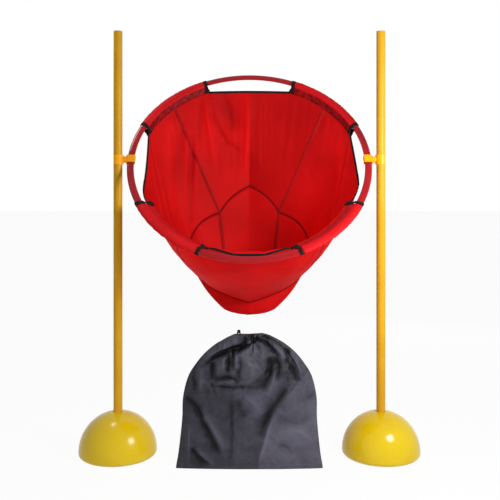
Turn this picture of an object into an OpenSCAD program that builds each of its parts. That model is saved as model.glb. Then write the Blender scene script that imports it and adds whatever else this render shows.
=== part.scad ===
// Pitching target: a cloth catching net on a plastic hoop, clipped between two
// poles that stand in sand-filled domes, and the drawstring bag it is kept in.
// Millimetres, +Z up. The origin is on the ground midway between the poles, and
// the thrower stands on the -Y side. Angles round the hoop count from its top
// towards +X, so 90 is the right-hand clip and 180 the lowest point.

/* [Poles] */
// Outer diameter of a pole
pole_d = 25.4; // [20:0.1:32]
// Wall of a pole
pole_wall = 1.6; // [1:0.1:2.5]
// Length of a pole tube
pole_length = 1200; // [1150:5:1500]
// Thickness of the flange of a pole's end caps
cap_flange = 2; // [1:0.1:5]
// Depth of the plug of an end cap inside the tube
cap_plug = 15; // [6:1:40]
// Radial clearance of an end cap's plug in the tube
cap_fit = 0.1; // [0.05:0.05:0.3]

/* [Domes] */
// Largest diameter of a dome
dome_d = 222; // [190:1:280]
// Height of a dome's widest line, which is also the radius of its lower edge
dome_lip = 11; // [8:0.5:16]
// Wall of a dome
dome_wall = 3; // [2:0.1:5]
// Width of the flat rim that a dome stands on
rim_w = 8; // [5:0.5:14]
// Thickness of the base plate under a dome
plate_t = 3; // [2:0.1:5]
// How far the base plate stays above the ground
plate_lift = 0.5; // [0.3:0.1:2]
// Wall of the socket inside a dome
socket_wall = 3; // [2:0.1:5]
// Thickness of the socket's floor
socket_floor = 3; // [2:0.1:6]
// Radial clearance of a pole in its socket
socket_fit = 0.3; // [0.2:0.05:0.6]
// Height of the collar on the base plate that centres the socket
collar_h = 8; // [4:0.5:20]
// Depth of the sand inside a dome
sand_depth = 66; // [30:1:80]
// Diameter of the filler hole in the base plate
filler_d = 20; // [14:1:30]
// Distance of the filler hole from the pole's axis
filler_x = 60; // [45:1:70]

/* [Hoop] */
// Outer diameter of the hoop
hoop_d = 700; // [600:5:780]
// Width of the flat hoop tube, across the hoop
hoop_w = 20; // [16:0.5:26]
// Thickness of the flat hoop tube
hoop_t = 7.5; // [6:0.1:10]
// Wall of the hoop tube
hoop_wall = 1.4; // [1:0.1:1.8]
// Length of the plug that joins the ends of the hoop tube
joiner_length = 60; // [30:1:100]
// Height of the hoop's centre and of the clips
hoop_height = 843; // [780:1:900]
// How far the hoop leans back from upright, in degrees
hoop_lean = 38.5; // [30:0.5:50]

/* [Clips] */
// Wall of the clips
clip_wall = 3; // [2.5:0.1:4]
// Height of the clip on a pole
pole_clip_h = 28; // [22:1:40]
// Radial clearance of a clip on its pole
pole_clip_fit = 0.1; // [0.05:0.05:0.3]
// Opening of the clip on a pole, in degrees
pole_clip_open = 110; // [80:1:130]
// Length of the clip on the hoop, along the hoop
hoop_clip_l = 25; // [20:1:36]
// Clearance of a clip on the hoop
hoop_clip_fit = 0.4; // [0.3:0.05:0.6]
// How far each lip closes a clip's mouth over the hoop's inner edge
lip_h = 1.2; // [0.8:0.1:2]
// Thickness of the lips, towards the hoop's centre
lip_t = 1.6; // [1:0.1:3]
// Diameter of the bosses that turn on each other
boss_d = 18; // [15:0.5:20]
// Height of the boss on a pole clip
pole_boss = 3.5; // [2:0.1:8]
// Height of the boss on a hoop clip
hoop_boss = 3.9; // [2:0.1:8]
// Gap between the two bosses
boss_gap = 0.3; // [0.2:0.05:0.6]
// Diameter of the swivel pin
pin_d = 8; // [6:0.1:9]
// Radial clearance of the swivel pin in its bores
pin_fit = 0.05; // [0.02:0.01:0.1]
// Diameter of the swivel pin's heads
pin_head_d = 12; // [10.5:0.1:13]
// Thickness of the swivel pin's heads
pin_head_t = 1.8; // [1:0.1:2.2]

/* [Net] */
// Thickness of the net's cloth
cloth_t = 1.6; // [1:0.1:2.5]
// Distance from the middle of the hoop tube to a sleeve's stitched hem
hem_depth = 26; // [22:1:32]
// Clearance of the sleeves round the hoop tube
sleeve_fit = 0.5; // [0.4:0.05:1]
// Angle where the upper sleeves start, from the hoop's top
upper_from = 25; // [18:0.5:32]
// Angle where the upper sleeves end
upper_to = 66; // [58:0.5:74]
// Angle where the lower sleeves start
lower_from = 119; // [112:0.5:126]
// Angle where the lower sleeves end
lower_to = 156; // [147:0.5:162]
// Width of the tape round a sleeve's end, in degrees of the hoop
end_tape_deg = 2; // [1:0.1:3]
// Thickness that the tape adds on each side of the cloth
tape_t = 0.5; // [0.3:0.1:1]
// Width of the tape along a free edge
tape_w = 6; // [4:0.5:10]
// Sag of the free edge at the back
sag_back = 16; // [4:1:50]
// Sag of the free edge on the right
sag_right = 28; // [4:1:56]
// Sag of the free edge at the front
sag_front = 8; // [4:1:50]
// Sag of the free edge on the left
sag_left = 46; // [4:1:56]
// How far the cloth stands up behind the free edge at the front
front_lift = 47; // [0:1:50]
// Half the width of the seam that joins the pouch to the panels
ring_half_w = 182; // [160:1:200]
// Distance of that seam's side corners behind the poles
ring_side_y = 146; // [130:1:160]
// Depth of the side corners below the hoop's centre
ring_side_drop = 236; // [221:1:251]
// Distance of the seam's back corner behind the poles
ring_back_y = 212; // [200:1:230]
// Depth of the back corner below the hoop's centre
ring_back_drop = 71; // [50:1:90]
// Distance of the seam's front corner behind the poles
ring_front_y = 74; // [60:1:90]
// Depth of the front corner below the hoop's centre
ring_front_drop = 413; // [395:1:425]
// Shape of the seam's front half: a smaller value drops steeper from its side corners
front_point = 0.28; // [0.2:0.01:0.5]
// Distance of the middle of the pouch's floor behind the poles
floor_y = 105; // [95:1:115]
// Depth of the pouch's floor below the hoop's centre
floor_drop = 450; // [436:1:476]
// Width of the pouch's floor
floor_w = 148; // [120:1:160]
// Depth of the pouch's floor, front to back
floor_d = 56; // [44:1:64]
// How far the panels and the pouch belly out
belly = 8; // [0:1:14]

/* [Storage bag] */
// Width of the bag at the ground
bag_w = 400; // [340:5:440]
// Height of the bag
bag_h = 367; // [320:1:400]
// Thickness of the bag at its middle
bag_depth = 60; // [54:1:80]
// Distance of the bag in front of the poles
bag_y = 108; // [100:1:160]
// How far the foot of the bag stands to the right of the middle
bag_foot_x = 0; // [-20:1:20]
// How far the top of the bag slumps to the right of the middle
bag_top_x = 4; // [-20:1:20]
// Diameter of the drawcord
cord_d = 4; // [3:0.5:5]
// Diameter of the knot in the drawcord's ends
knot_d = 9; // [7:0.5:12]

/* [Hidden] */
$fn = 96;
part_gap = 0.3;
cut = 1;
quarter_turn = 90;

// Domes
dome_r = dome_d / 2;
dome_top = dome_lip + dome_r;
foot_r = dome_r - dome_lip;
rim_in = foot_r - rim_w;
pole_r = pole_d / 2;
socket_r = pole_r + socket_fit;
socket_out = socket_r + socket_wall;
plate_top = plate_lift + plate_t;
inner_dome_r = dome_r - dome_wall;
socket_top = dome_lip + sqrt(pow(inner_dome_r, 2) - pow(socket_out, 2)) - part_gap;
collar_in = socket_out + part_gap;
collar_r = collar_in + socket_wall;
filler_head = 1.5;
filler_head_rim = 3;

// Poles
cap_foot = plate_top + socket_floor + part_gap;
tube_foot = cap_foot + cap_flange;
tube_top = tube_foot + pole_length;

// Hoop and clips, counted out from the hoop's centre along X
hoop_r = hoop_d / 2;
tube_half = hoop_w / 2;
hoop_mid = hoop_r - tube_half;
hoop_in = hoop_r - hoop_w;
hoop_seat = hoop_r + hoop_clip_fit;
hoop_clip_out = hoop_seat + clip_wall;
hoop_boss_face = hoop_clip_out + hoop_boss;
pole_boss_face = hoop_boss_face + boss_gap;
pole_clip_in = pole_r + pole_clip_fit;
pole_clip_out = pole_clip_in + clip_wall;
ring_edge = pole_boss_face + pole_boss;
pole_x = ring_edge + pole_clip_out;
head_gap = 0.15;
head_play = 0.2;
head_seat = hoop_seat + head_gap;
head_floor = head_seat + pin_head_t + head_gap;
far_head = pole_x - pole_clip_in - pin_head_t - head_gap * 3;

// Net
sleeve_in = [tube_half + sleeve_fit, hoop_t / 2 + sleeve_fit];
sleeve_arc_steps = 15;
sleeve_steps = 10;
hole_steps = sleeve_arc_steps + 3;
gap_steps = 8;
hem_steps = 3;
panel_rows = 7;
pouch_rows = 5;
edge_jog = 0.06;
probe = 0.01;
sleeve_upper = [upper_from, upper_to];
sleeve_lower = [lower_from, lower_to];
edge_sag = [sag_back, sag_right, sag_front, sag_left];
// Places behind the poles and above the hoop's centre
ring_side = [ring_side_y, -ring_side_drop];
ring_back = [ring_back_y, -ring_back_drop];
ring_front = [ring_front_y, -ring_front_drop];
floor_mid = [floor_y, -floor_drop];
floor_half = [floor_w / 2, floor_d / 2];

// ---------------------------------------------------------------- placing

// Stands a piece on the left or right pole's axis; a piece is drawn for the
// right, where +X points away from the hoop
module on_side(side) {
    if (side == "left") mirror([1, 0, 0]) children();
    else children();
}

// Turns a piece drawn flat, with its top towards +Y, into the leaning hoop
module in_hoop() {
    translate([0, 0, hoop_height]) rotate([90 - hoop_lean, 0, 0]) children();
}

// A cylinder along +X from one distance to another
module x_rod(r, from, to) {
    translate([from, 0, 0]) rotate([0, 90, 0]) cylinder(r = r, h = to - from);
}

// ---------------------------------------------------------------- domes

// Half section of a dome with the given wall taken off all round
module dome_half(inset) {
    r = dome_r - inset;
    lip = dome_lip - inset;
    intersection() {
        translate([0, dome_lip]) circle(r = r);
        translate([0, dome_lip]) square([dome_r, dome_r]);
    }
    translate([foot_r, dome_lip]) circle(r = lip);
    translate([0, inset]) square([foot_r, lip]);
}

module dome_shell(side) {
    color("gold")
    on_side(side) translate([pole_x, 0, 0]) rotate_extrude() difference() {
        intersection() {
            dome_half(0);
            square([dome_r + cut, dome_top + cut]);
        }
        intersection() {
            dome_half(dome_wall);
            square([dome_r + cut, dome_top + cut]);
        }
        translate([-cut, -cut]) square([rim_in + cut, dome_wall + 2 * cut]);
        translate([-cut, -cut]) square([socket_r + cut, dome_top + 2 * cut]);
    }
}

// Flat bottom with a collar for the socket and a stepped filler hole
module base_plate(side) {
    color("goldenrod")
    on_side(side) translate([pole_x, 0, 0]) difference() {
        union() {
            translate([0, 0, plate_lift]) cylinder(r = rim_in - part_gap, h = plate_t);
            translate([0, 0, plate_lift])
                cylinder(r = collar_r, h = plate_t + collar_h);
        }
        translate([0, 0, plate_top])
            cylinder(r = collar_in, h = collar_h + cut);
        translate([filler_x, 0, -cut]) cylinder(d = filler_d, h = plate_top + 2 * cut);
        translate([filler_x, 0, -cut])
            cylinder(d = filler_d + 2 * filler_head_rim,
                     h = cut + plate_lift + filler_head);
    }
}

module pole_socket(side) {
    color("goldenrod")
    on_side(side) translate([pole_x, 0, plate_top]) difference() {
        cylinder(r = socket_out, h = socket_top - plate_top);
        translate([0, 0, socket_floor]) cylinder(r = socket_r, h = socket_top);
    }
}

module sand_ballast(side) {
    color("tan")
    on_side(side) translate([pole_x, 0, 0]) rotate_extrude() intersection() {
        dome_half(dome_wall + part_gap);
        translate([collar_r + part_gap, plate_top + part_gap])
            square([dome_r, sand_depth]);
    }
}

module filler_plug(side) {
    head_z = plate_lift + part_gap;
    color("goldenrod")
    on_side(side) translate([pole_x + filler_x, 0, head_z]) {
        cylinder(d = filler_d + 2 * (filler_head_rim - part_gap),
                 h = filler_head - 2 * part_gap);
        cylinder(d = filler_d - 2 * cap_fit, h = plate_top - head_z);
    }
}

// ---------------------------------------------------------------- poles

module pole_tube(side) {
    color("orange")
    on_side(side) translate([pole_x, 0, tube_foot]) difference() {
        cylinder(r = pole_r, h = pole_length);
        translate([0, 0, -cut])
            cylinder(r = pole_r - pole_wall, h = pole_length + 2 * cut);
    }
}

// End cap drawn with its flange below the tube and its plug reaching up
module end_cap() {
    cylinder(r = pole_r, h = cap_flange);
    cylinder(r = pole_r - pole_wall - cap_fit, h = cap_flange + cap_plug);
}

module pole_foot_cap(side) {
    color("orange")
    on_side(side) translate([pole_x, 0, cap_foot]) end_cap();
}

module pole_top_cap(side) {
    color("orange")
    on_side(side) translate([pole_x, 0, tube_top + cap_flange]) mirror([0, 0, 1])
        end_cap();
}

// ---------------------------------------------------------------- clips

// Open ring that snaps on the pole, with a boss that faces the hoop
module pole_clip(side) {
    half_open = pole_clip_open / 2;
    reach = pole_clip_out * 2;
    color("darkorange")
    on_side(side) translate([0, 0, hoop_height]) difference() {
        union() {
            translate([pole_x, 0, -pole_clip_h / 2])
                cylinder(r = pole_clip_out, h = pole_clip_h);
            x_rod(boss_d / 2, pole_boss_face, ring_edge + clip_wall / 2);
        }
        translate([pole_x, 0, -pole_clip_h / 2 - cut]) {
            cylinder(r = pole_clip_in, h = pole_clip_h + 2 * cut);
            linear_extrude(pole_clip_h + 2 * cut)
                polygon([[0, 0], reach * [cos(half_open), -sin(half_open)],
                         [reach, 0], reach * [cos(half_open), sin(half_open)]]);
        }
        x_rod(pin_d / 2 + pin_fit, pole_boss_face - cut, pole_x);
        x_rod(pin_head_d / 2 + head_play, far_head - head_gap, pole_x);
    }
}

// Headed pin that is fast in the hoop clip and turns in the pole clip
module swivel_pin(side) {
    color("darkorange")
    on_side(side) translate([0, 0, hoop_height]) {
        x_rod(pin_head_d / 2, head_seat, head_seat + pin_head_t);
        x_rod(pin_d / 2, head_seat, far_head + pin_head_t);
        x_rod(pin_head_d / 2, far_head, far_head + pin_head_t);
    }
}

// Section of the jaw, across the hoop, round a given clearance
module jaw(grow, x_from) {
    half = hoop_t / 2 + hoop_clip_fit + grow;
    round_r = min(half, clip_wall);
    x_to = hoop_seat + grow;
    translate([x_from, -half + round_r]) square([x_to - x_from, 2 * (half - round_r)]);
    translate([x_from + round_r, -half])
        square([x_to - x_from - 2 * round_r, 2 * half]);
    for (x = [x_from + round_r, x_to - round_r], z = [-1, 1])
        translate([x, z * (half - round_r)]) circle(r = round_r);
}

// Jaw that snaps over the flat hoop tube from outside
module hoop_clip(side) {
    mouth = hoop_t / 2 + hoop_clip_fit - lip_h;
    jaw_end = hoop_in - hoop_clip_fit * 2;
    color("darkorange")
    in_hoop() on_side(side) difference() {
        union() {
            rotate([90, 0, 0]) linear_extrude(hoop_clip_l, center = true)
                jaw(clip_wall, jaw_end - lip_t);
            x_rod(boss_d / 2, hoop_clip_out - clip_wall / 2, hoop_boss_face);
        }
        translate([jaw_end, -hoop_clip_l, -hoop_t / 2 - hoop_clip_fit])
            cube([hoop_seat - jaw_end, 2 * hoop_clip_l,
                  hoop_t + 2 * hoop_clip_fit]);
        translate([jaw_end - lip_t - cut, -hoop_clip_l, -mouth])
            cube([lip_t + 2 * cut, 2 * hoop_clip_l, 2 * mouth]);
        x_rod(pin_d / 2 + pin_fit, hoop_seat - cut, hoop_boss_face + cut);
        x_rod(pin_head_d / 2 + head_play, hoop_seat - cut, head_floor);
    }
}

// ---------------------------------------------------------------- hoop

function oval(half, steps) = [
    for (i = [0 : steps - 1]) let (t = 360 * i / steps)
        [half[0] * cos(t), half[1] * sin(t)]
];

module hoop_tube() {
    oval_steps = 40;
    color("crimson")
    in_hoop() rotate_extrude() translate([hoop_mid, 0]) difference() {
        polygon(oval([tube_half, hoop_t / 2], oval_steps));
        polygon(oval([tube_half - hoop_wall, hoop_t / 2 - hoop_wall], oval_steps));
    }
}

// Solid plug inside the tube where its ends meet, under the lower left sleeve
module hoop_joiner() {
    oval_steps = 24;
    span = joiner_length / hoop_mid * 180 / PI;
    middle = quarter_turn + (sleeve_lower[0] + sleeve_lower[1]) / 2;
    room = hoop_wall + part_gap;
    color("firebrick")
    in_hoop() rotate([0, 0, middle - span / 2]) rotate_extrude(angle = span)
        translate([hoop_mid, 0])
            polygon(oval([tube_half - room, hoop_t / 2 - room], oval_steps));
}

// ---------------------------------------------------------------- net surface

// Outward direction in the hoop's plane
function hoop_out(a) = [sin(a), cos(a) * sin(hoop_lean), cos(a) * cos(hoop_lean)];
// The hoop's axis, pointing into the net
function hoop_axis() = [0, cos(hoop_lean), -sin(hoop_lean)];
function hoop_point(a) = [0, 0, hoop_height] + hoop_mid * hoop_out(a);

// Point on a rounded square whose corners lie on the axes when power is 1
function rounded(a, power) =
    let (s = abs(sin(a)), c = abs(cos(a)),
         k = pow(pow(s, power) + pow(c, power), -1 / power))
    [sign(sin(a)) * s * k, sign(cos(a)) * c * k];

// Seam that joins the upper panels to the pouch
function ring_point(a) =
    let (back = cos(a) >= 0, corner = back ? ring_back : ring_front,
         p = back ? rounded(a, 1) : [sin(a), pow(1 - abs(sin(a)), front_point)],
         side = ring_side + abs(p[1]) * (corner - ring_side))
    [ring_half_w * p[0], side[0], hoop_height + side[1]];

// Outline of the pouch's floor
function floor_point(a) =
    let (p = rounded(a, 2))
    [floor_half[0] * p[0], floor_mid[0] + floor_half[1] * p[1],
     hoop_height + floor_mid[1]];

function mix(p, q, t) = p * (1 - t) + q * t;

// Belly of the cloth halfway between two seams: none at the back
function belly_at(a, side_share) =
    belly * (side_share * (1 - abs(cos(a))) + max(0, -cos(a))) * hoop_out(a);

// At the front gap the cloth is drawn straight from sleeve to sleeve, so it
// stands up behind the hoop
function lift_at(a, w) =
    let (ends = gap_ends(2), off = (a - 180) / (ends[1] - 180))
    [0, 0, front_lift * max(0, 1 - off * off) * pow(1 - w, 2)];

// The net's middle surface: w runs 0 at the tube, 1 at the ring seam, 2 at the floor
function net_point(a, w) =
    w <= 1 ? mix(hoop_point(a), ring_point(a), w) + 4 * w * (1 - w) * belly_at(a, 0.5)
             + lift_at(a, w)
           : mix(ring_point(a), floor_point(a), w - 1)
             + 4 * (w - 1) * (2 - w) * belly_at(a, 1);

function unit(v) = v / norm(v);
function net_normal(a, w) =
    unit(cross(net_point(a + probe * 10, w) - net_point(a - probe * 10, w),
               net_point(a, min(2, w + probe)) - net_point(a, max(0, w - probe))));

// Share of the way to the ring seam at a distance from the tube's middle
function share(a, distance) = distance / norm(ring_point(a) - hoop_point(a));

// ---------------------------------------------------------------- cloth solids

function quad(p, q, r, s) = [[p, q, r], [p, r, s]];

// Solid sheet through a grid of [angle, w] cells, the given thickness in all;
// its edges are split along the same diagonals, so sewn sheets meet face to face
module cloth(cells, thick) {
    rows = len(cells);
    cols = len(cells[0]);
    points = [
        for (face = [1, -1], row = cells, c = row)
            net_point(c[0], c[1]) + face * thick / 2 * net_normal(c[0], c[1])
    ];
    under = rows * cols;
    faces = concat(
        [for (i = [0 : rows - 2], j = [0 : cols - 2], t = [0, 1])
            let (k = i * cols + j) quad(k, k + cols, k + cols + 1, k + 1)[t]],
        [for (i = [0 : rows - 2], j = [0 : cols - 2], t = [0, 1])
            let (k = under + i * cols + j) quad(k, k + 1, k + cols + 1, k + cols)[t]],
        [for (j = [0 : cols - 2], t = [0, 1])
            let (k = j) quad(under + k, k, k + 1, under + k + 1)[t]],
        [for (j = [0 : cols - 2], t = [0, 1])
            let (k = (rows - 1) * cols + j)
            quad(under + k, under + k + 1, k + 1, k)[t]],
        [for (i = [0 : rows - 2], t = [0, 1])
            let (k = i * cols) quad(under + k, under + k + cols, k + cols, k)[t]],
        [for (i = [0 : rows - 2], t = [0, 1])
            let (k = i * cols + cols - 1)
            quad(under + k, k, k + cols, under + k + cols)[t]]
    );
    polyhedron(points, faces);
}

// The last covered angle before, and the first after, each free edge: the
// sleeves and their end tapes lie outside these
function gap_ends(quarter) =
    let (up = sleeve_upper + end_tape_deg * [-1, 1],
         low = sleeve_lower + end_tape_deg * [-1, 1])
    quarter == 0 ? [-up[0], up[0]] :
    quarter == 1 ? [up[1], low[0]] :
    quarter == 2 ? [low[1], 360 - low[1]] : [360 - low[0], 360 - up[1]];

function gap_angles(quarter) =
    let (ends = gap_ends(quarter) + edge_jog * [1, -1])
    [for (i = [0 : gap_steps]) mix(ends[0], ends[1], i / gap_steps)];

// Distance of the free edge from the tube's middle
function edge_distance(quarter, a) =
    let (ends = gap_ends(quarter), middle = (ends[0] + ends[1]) / 2,
         half = (ends[1] - ends[0]) / 2)
    hem_depth + part_gap + edge_sag[quarter] * (1 - pow((a - middle) / half, 2));

// Where a panel starts at each angle: under its two half sleeves and its taped edge
function panel_starts(quarter) =
    let (ends = gap_ends(quarter), first = quarter * quarter_turn - quarter_turn / 2)
    concat(
        [for (i = [0 : hem_steps])
            [mix(first, ends[0], i / hem_steps), hem_depth + part_gap]],
        [for (a = gap_angles(quarter)) [a, edge_distance(quarter, a) + tape_w]],
        [for (i = [0 : hem_steps])
            [mix(ends[1], first + quarter_turn, i / hem_steps), hem_depth + part_gap]]);

// Upper panel between two diagonal seams, below its two half sleeves and its
// taped free edge
module upper_panel(quarter) {
    starts = panel_starts(quarter);
    color("red")
    cloth([for (s = starts) let (top = share(s[0], s[1]))
              [for (k = [0 : panel_rows]) [s[0], mix(top, 1, k / panel_rows)]]],
          cloth_t);
}

// Folded tape on the free edge of a panel
module edge_tape(quarter) {
    inside = edge_jog * 2 / 90;
    ends = gap_ends(quarter);
    color([0.1, 0.1, 0.1])
    cloth([for (a = gap_angles(quarter))
              let (at = mix(a, (ends[0] + ends[1]) / 2, inside),
                   top = edge_distance(quarter, at))
              [[at, share(at, top)], [at, share(at, top + tape_w - 0.02)]]],
          cloth_t + 2 * tape_t);
}

// Pouch gore under one upper panel, sewn to it at the same angles
module pouch_gore(quarter) {
    color("firebrick")
    cloth([for (s = panel_starts(quarter))
              [for (k = [0 : pouch_rows]) [s[0], 1 + k / pouch_rows]]],
          cloth_t);
}

module pouch_floor() {
    floor_steps = 36;
    inset = cloth_t / 2 + part_gap;
    grown = [for (i = [0 : floor_steps - 1])
                let (p = floor_point(360 * i / floor_steps), k = 1 - inset / floor_half[1])
                [p[0] * k, floor_mid[0] + (p[1] - floor_mid[0]) * k]];
    color("firebrick")
    translate([0, 0, hoop_height + floor_mid[1] + part_gap]) linear_extrude(cloth_t)
        polygon(grown);
}

// ---------------------------------------------------------------- sleeves

// Outer outline of a sleeve across the hoop: round the tube and in to the hem
function sleeve_outline(a, grow) =
    let (half = sleeve_in + (cloth_t + grow) * [1, 1],
         away = net_point(a, share(a, hem_depth)) - hoop_point(a),
         p = [away * hoop_out(a), away * hoop_axis()],
         q = [p[0] / half[0], p[1] / half[1]],
         middle = atan2(q[1], q[0]), touch = acos(1 / norm(q)),
         thick = (cloth_t + grow) * unit([-p[1], p[0]]),
         arc = [for (i = [0 : sleeve_arc_steps])
                    let (t = mix(middle + touch, middle + 360 - touch,
                                 i / sleeve_arc_steps))
                    [half[0] * cos(t), half[1] * sin(t)]])
    concat([p + thick], arc, [p - thick]);

// Outline of the sleeve's inside, with its points level with the outer ones
function sleeve_hole(a) =
    let (away = net_point(a, share(a, hem_depth)) - hoop_point(a),
         middle = atan2((away * hoop_axis()) / sleeve_in[1],
                        (away * hoop_out(a)) / sleeve_in[0]),
         wide = 1 / cos(180 / hole_steps))
    [for (i = [0 : hole_steps - 1]) let (t = middle + 360 * (i + 0.5) / hole_steps)
        [sleeve_in[0] * wide * cos(t), sleeve_in[1] * wide * sin(t)]];

// A point of an outline, placed at its angle. The outline leans along the hoop as
// the hem does, but stays in one plane, so a sleeve and its end tapes meet flush
function place(a, p) =
    let (away = net_point(a, share(a, hem_depth)) - hoop_point(a),
         out = away * hoop_out(a), up = away * hoop_axis(),
         along = away - out * hoop_out(a) - up * hoop_axis(),
         lean = (p[0] * out + p[1] * up) / (out * out + up * up))
    hoop_point(a) + p[0] * hoop_out(a) + p[1] * hoop_axis() + lean * along;

// Hollow sleeve round the tube from one angle to another
module sleeve_ring(from, to, steps, grow) {
    angles = [for (i = [0 : steps]) mix(from, to, i / steps)];
    n = hole_steps;
    points = concat([for (a = angles, p = sleeve_outline(a, grow)) place(a, p)],
                    [for (a = angles, p = sleeve_hole(a)) place(a, p)]);
    inner = (steps + 1) * n;
    faces = concat(
        [for (i = [0 : steps - 1], j = [0 : n - 1], t = [0, 1])
            let (k = i * n + j, m = i * n + (j + 1) % n)
            quad(k, m, m + n, k + n)[t]],
        [for (i = [0 : steps - 1], j = [0 : n - 1], t = [0, 1])
            let (k = inner + i * n + j, m = inner + i * n + (j + 1) % n)
            quad(k, k + n, m + n, m)[t]],
        [for (j = [0 : n - 1], t = [0, 1])
            let (m = (j + 1) % n) quad(j, inner + j, inner + m, m)[t]],
        [for (j = [0 : n - 1], t = [0, 1])
            let (k = steps * n + j, m = steps * n + (j + 1) % n)
            quad(k, m, inner + m, inner + k)[t]]
    );
    polyhedron(points, faces);
}

function sleeve_span(name) =
    name == "upper_right" ? sleeve_upper :
    name == "lower_right" ? sleeve_lower :
    name == "lower_left" ? [360 - sleeve_lower[1], 360 - sleeve_lower[0]] :
    [360 - sleeve_upper[1], 360 - sleeve_upper[0]];

module sleeve(name) {
    span = sleeve_span(name);
    color("crimson")
    sleeve_ring(span[0], span[1], sleeve_steps, 0);
}

module sleeve_end_tapes() {
    color([0.1, 0.1, 0.1])
    for (name = ["upper_right", "lower_right", "lower_left", "upper_left"]) {
        span = sleeve_span(name);
        sleeve_ring(span[0] - end_tape_deg, span[0], 1, tape_t);
        sleeve_ring(span[1], span[1] + end_tape_deg, 1, tape_t);
    }
}

// ---------------------------------------------------------------- storage bag

// Share of the bag's height, width and depth at each level, from ground to top
bag_levels = [
    [0, 1, 0.7], [0.1, 0.97, 0.95], [0.22, 0.943, 1], [0.38, 0.916, 1], [0.53, 0.908, 1],
    [0.68, 0.842, 0.95], [0.78, 0.733, 0.85], [0.86, 0.61, 0.72], [0.93, 0.45, 0.56],
    [0.985, 0.26, 0.4], [1, 0.16, 0.25]
];
bag_steps = 32;

// Middle of the bag at a share of its height
function bag_middle(up) = mix(bag_foot_x, bag_top_x, up * up);

// Flat bag with a seam down each side, so its section comes to a point there
function bag_ring(level) = [
    for (i = [0 : bag_steps - 1])
        let (t = 360 * i / bag_steps, c = cos(t), s = sin(t))
        [bag_middle(level[0]) + bag_w / 2 * level[1] * c,
         bag_depth / 2 * level[2] * sign(s) * pow(abs(s), 1.3) - bag_y,
         bag_h * level[0]]
];

// Solid through a stack of closed rings, all with the same number of points
module stack(rings) {
    n = len(rings[0]);
    last = len(rings) - 1;
    faces = concat(
        [for (i = [0 : last - 1], j = [0 : n - 1], t = [0, 1])
            let (k = i * n + j, m = i * n + (j + 1) % n)
            quad(k, k + n, m + n, m)[t]],
        [[for (j = [0 : n - 1]) j]],
        [[for (j = [0 : n - 1]) last * n + n - 1 - j]]
    );
    polyhedron([for (ring = rings, p = ring) p], faces);
}

// The drawcord's route, round the bag's channel and out at the top:
// shares of half the bag's width, of its depth and of its height
cord_route = [
    [-0.18, 0, 1.008], [-0.19, 0, 0.98], [-0.24, 0.06, 0.94], [-0.4, 0.11, 0.88],
    [-0.54, 0.11, 0.8], [-0.65, 0.09, 0.72], [-0.7, 0, 0.68], [-0.65, -0.09, 0.72],
    [-0.54, -0.11, 0.8], [-0.4, -0.12, 0.87], [-0.2, -0.12, 0.915], [0, -0.12, 0.925],
    [0.2, -0.12, 0.915], [0.4, -0.12, 0.87], [0.54, -0.11, 0.8], [0.65, -0.09, 0.72],
    [0.7, 0, 0.68], [0.65, 0.09, 0.72], [0.54, 0.11, 0.8], [0.4, 0.12, 0.87],
    [0.2, 0.12, 0.915], [0, 0.12, 0.925], [-0.1, 0.07, 0.945], [-0.14, 0, 0.98],
    [-0.15, 0, 1.008]
];

function route_point(i) =
    let (p = cord_route[max(0, min(len(cord_route) - 1, i))])
    [bag_middle(p[2]) + p[0] * bag_w / 2, p[1] * bag_depth - bag_y, p[2] * bag_h];

// Smooth curve through the route's points
function curve(i, t) =
    let (a = route_point(i - 1), b = route_point(i), c = route_point(i + 1),
         d = route_point(i + 2))
    b + (c - a) * t / 2 + (2 * a - 5 * b + 4 * c - d) * t * t / 2
      + (3 * b - 3 * c + d - a) * t * t * t / 2;

cord_path = concat(
    [for (i = [0 : len(cord_route) - 2], k = [0, 1, 2]) curve(i, k / 3)],
    [route_point(len(cord_route) - 1)]);

function heading(path, i) =
    unit(path[min(i + 1, len(path) - 1)] - path[max(i - 1, 0)]);

// Side direction carried along the path without twist
function carried(path, side, i = 0) =
    i == len(path) ? [] :
    let (h = heading(path, i), s = unit(side - (side * h) * h))
    concat([s], carried(path, s, i + 1));

// Round tube along a path
module tube_along(path, r) {
    sides = 8;
    side_of = carried(path, [1, 0, 0]);
    stack([for (i = [0 : len(path) - 1])
        let (h = heading(path, i), s = side_of[i], u = cross(h, s))
        [for (j = [0 : sides - 1]) let (t = 360 * j / sides)
            path[i] + r * (cos(t) * s + sin(t) * u)]]);
}

module storage_bag() {
    channel_room = 0.8;
    color([0.25, 0.24, 0.28])
    difference() {
        stack([for (level = bag_levels) bag_ring(level)]);
        tube_along(cord_path, cord_d / 2 + channel_room);
    }
}

module drawcord() {
    color([0.08, 0.08, 0.08]) {
        tube_along(cord_path, cord_d / 2);
        translate(mix(cord_path[0], cord_path[len(cord_path) - 1], 0.5)
                  + [0, 0, cord_d / 2])
            sphere(d = knot_d, $fn = 12);
    }
}

dome_shell("left");  // left_dome_shell
base_plate("left");  // left_base_plate
pole_socket("left");  // left_pole_socket
sand_ballast("left");  // left_sand_ballast
filler_plug("left");  // left_filler_plug
pole_tube("left");  // left_pole_tube
pole_top_cap("left");  // left_pole_top_cap
pole_foot_cap("left");  // left_pole_foot_cap
pole_clip("left");  // left_pole_clip
swivel_pin("left");  // left_swivel_pin
hoop_clip("left");  // left_hoop_clip
dome_shell("right");  // right_dome_shell
base_plate("right");  // right_base_plate
pole_socket("right");  // right_pole_socket
sand_ballast("right");  // right_sand_ballast
filler_plug("right");  // right_filler_plug
pole_tube("right");  // right_pole_tube
pole_top_cap("right");  // right_pole_top_cap
pole_foot_cap("right");  // right_pole_foot_cap
pole_clip("right");  // right_pole_clip
swivel_pin("right");  // right_swivel_pin
hoop_clip("right");  // right_hoop_clip
hoop_tube();
hoop_joiner();
upper_panel(0);  // back_panel
upper_panel(1);  // right_panel
upper_panel(2);  // front_panel
upper_panel(3);  // left_panel
pouch_gore(0);  // pouch_back
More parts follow.
